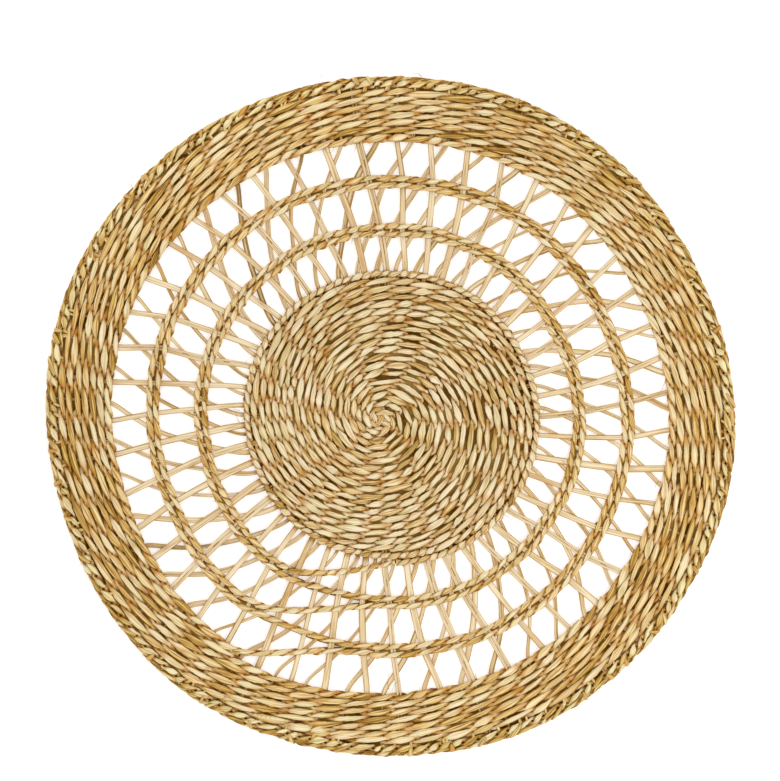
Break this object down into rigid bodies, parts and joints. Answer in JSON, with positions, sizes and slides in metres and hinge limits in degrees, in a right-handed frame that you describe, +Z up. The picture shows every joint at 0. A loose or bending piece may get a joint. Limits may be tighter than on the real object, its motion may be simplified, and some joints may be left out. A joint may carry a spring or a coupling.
{
  "type": "round woven placemat",
  "caption": "Round flat openwork table mat: a close twined centre, crossed straw strips held by twined rings, a close outer band and a plaited border, for setting a plate on.",
  "frame": {"origin": "centre of the mat's flat underside, on the surface it lies on", "axes": "+Z up through the mat's thickness; +X to the right and +Y away from the diner; the weft climbs from ring to ring in the -X -Y quarter"},
  "size_m": [0.3819, 0.3764, 0.006],
  "materials": {
    "straw_weave": "natural straw, cream to tan, slight sheen",
    "straw_plait": "natural straw, golden brown, slight sheen"
  },
  "bodies": {
    "root": {"woven_mat": "straw_weave", "plaited_border": "straw_plait"}
  },
  "joints": []
}
